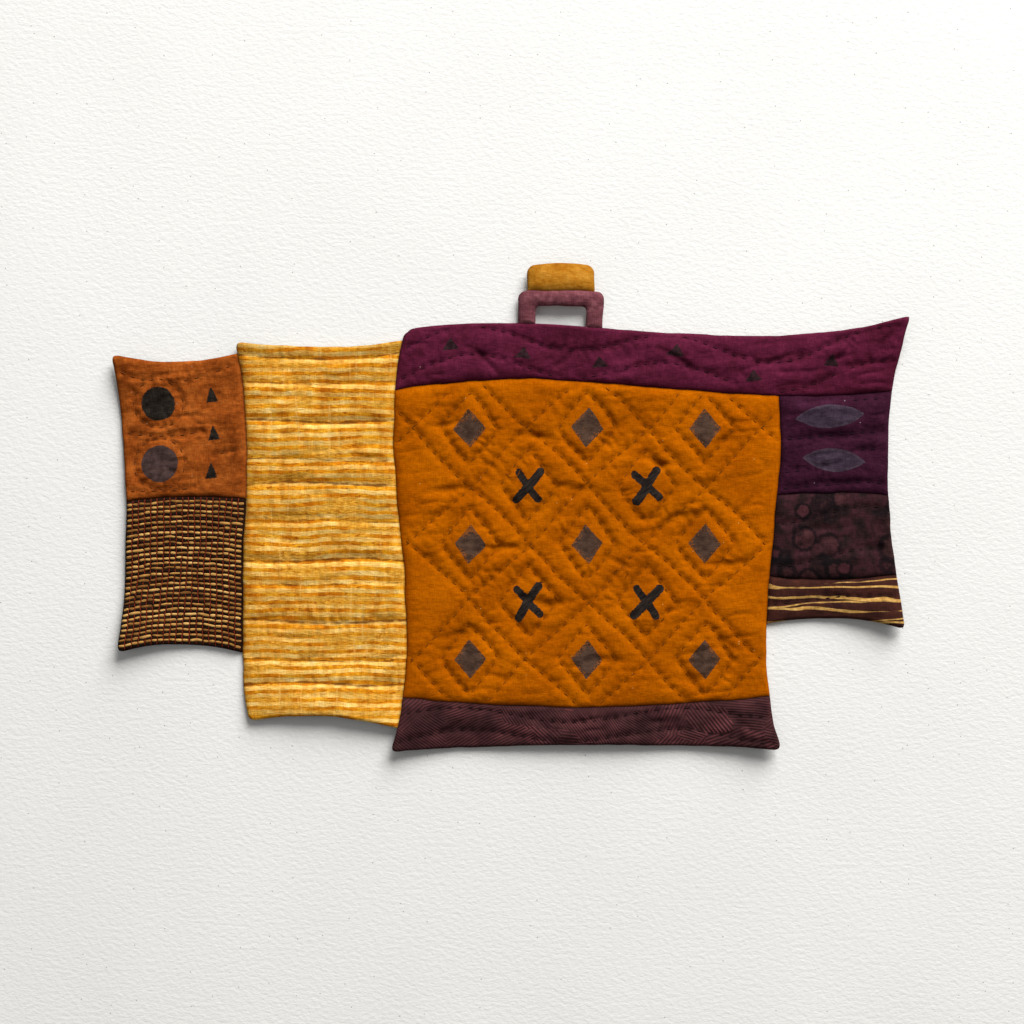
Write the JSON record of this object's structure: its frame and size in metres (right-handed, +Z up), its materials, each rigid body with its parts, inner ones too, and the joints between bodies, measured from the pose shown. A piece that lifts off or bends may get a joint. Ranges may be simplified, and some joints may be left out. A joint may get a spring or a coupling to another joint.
{
  "type": "art quilt",
  "caption": "Shaped patchwork wall quilt in plain, hand-dyed, striped and nubby cloth, quilted through its wadding, with bowed edges, flared corners and a small hanging tab.",
  "frame": {"origin": "on the top edge, above the middle of the width, in the plane in which the middle of the back lies", "axes": "+Z up as it hangs, +X to the right along its width, +Y out of its back"},
  "size_m": [0.4184, 0.0067, 0.2563],
  "materials": {
    "rust_cotton": "matt cotton, slightly mottled",
    "nubby_weave": "matt coarse weave with raised weft",
    "golden_batik": "matt cotton with crackled stripes",
    "ochre_cotton": "matt cotton with painted shapes",
    "burgundy_rib": "fine ribbed cloth with a low sheen",
    "magenta_cotton": "matt cotton",
    "purple_cotton": "matt cotton with sheer appliqued shapes",
    "dark_batik": "matt cotton, mottled",
    "streaked_batik": "matt cotton with thin streaks",
    "violet_cotton": "matt cotton",
    "light_ochre_cotton": "matt cotton"
  },
  "bodies": {
    "root": {"rust_block": "rust_cotton", "nubby_block": "nubby_weave", "golden_panel": "golden_batik", "ochre_field": "ochre_cotton", "burgundy_band": "burgundy_rib", "magenta_band": "magenta_cotton", "purple_block": "purple_cotton", "batik_block": "dark_batik", "streaked_strip": "streaked_batik", "tab_loop": "violet_cotton", "tab_cap": "light_ochre_cotton"}
  },
  "joints": []
}
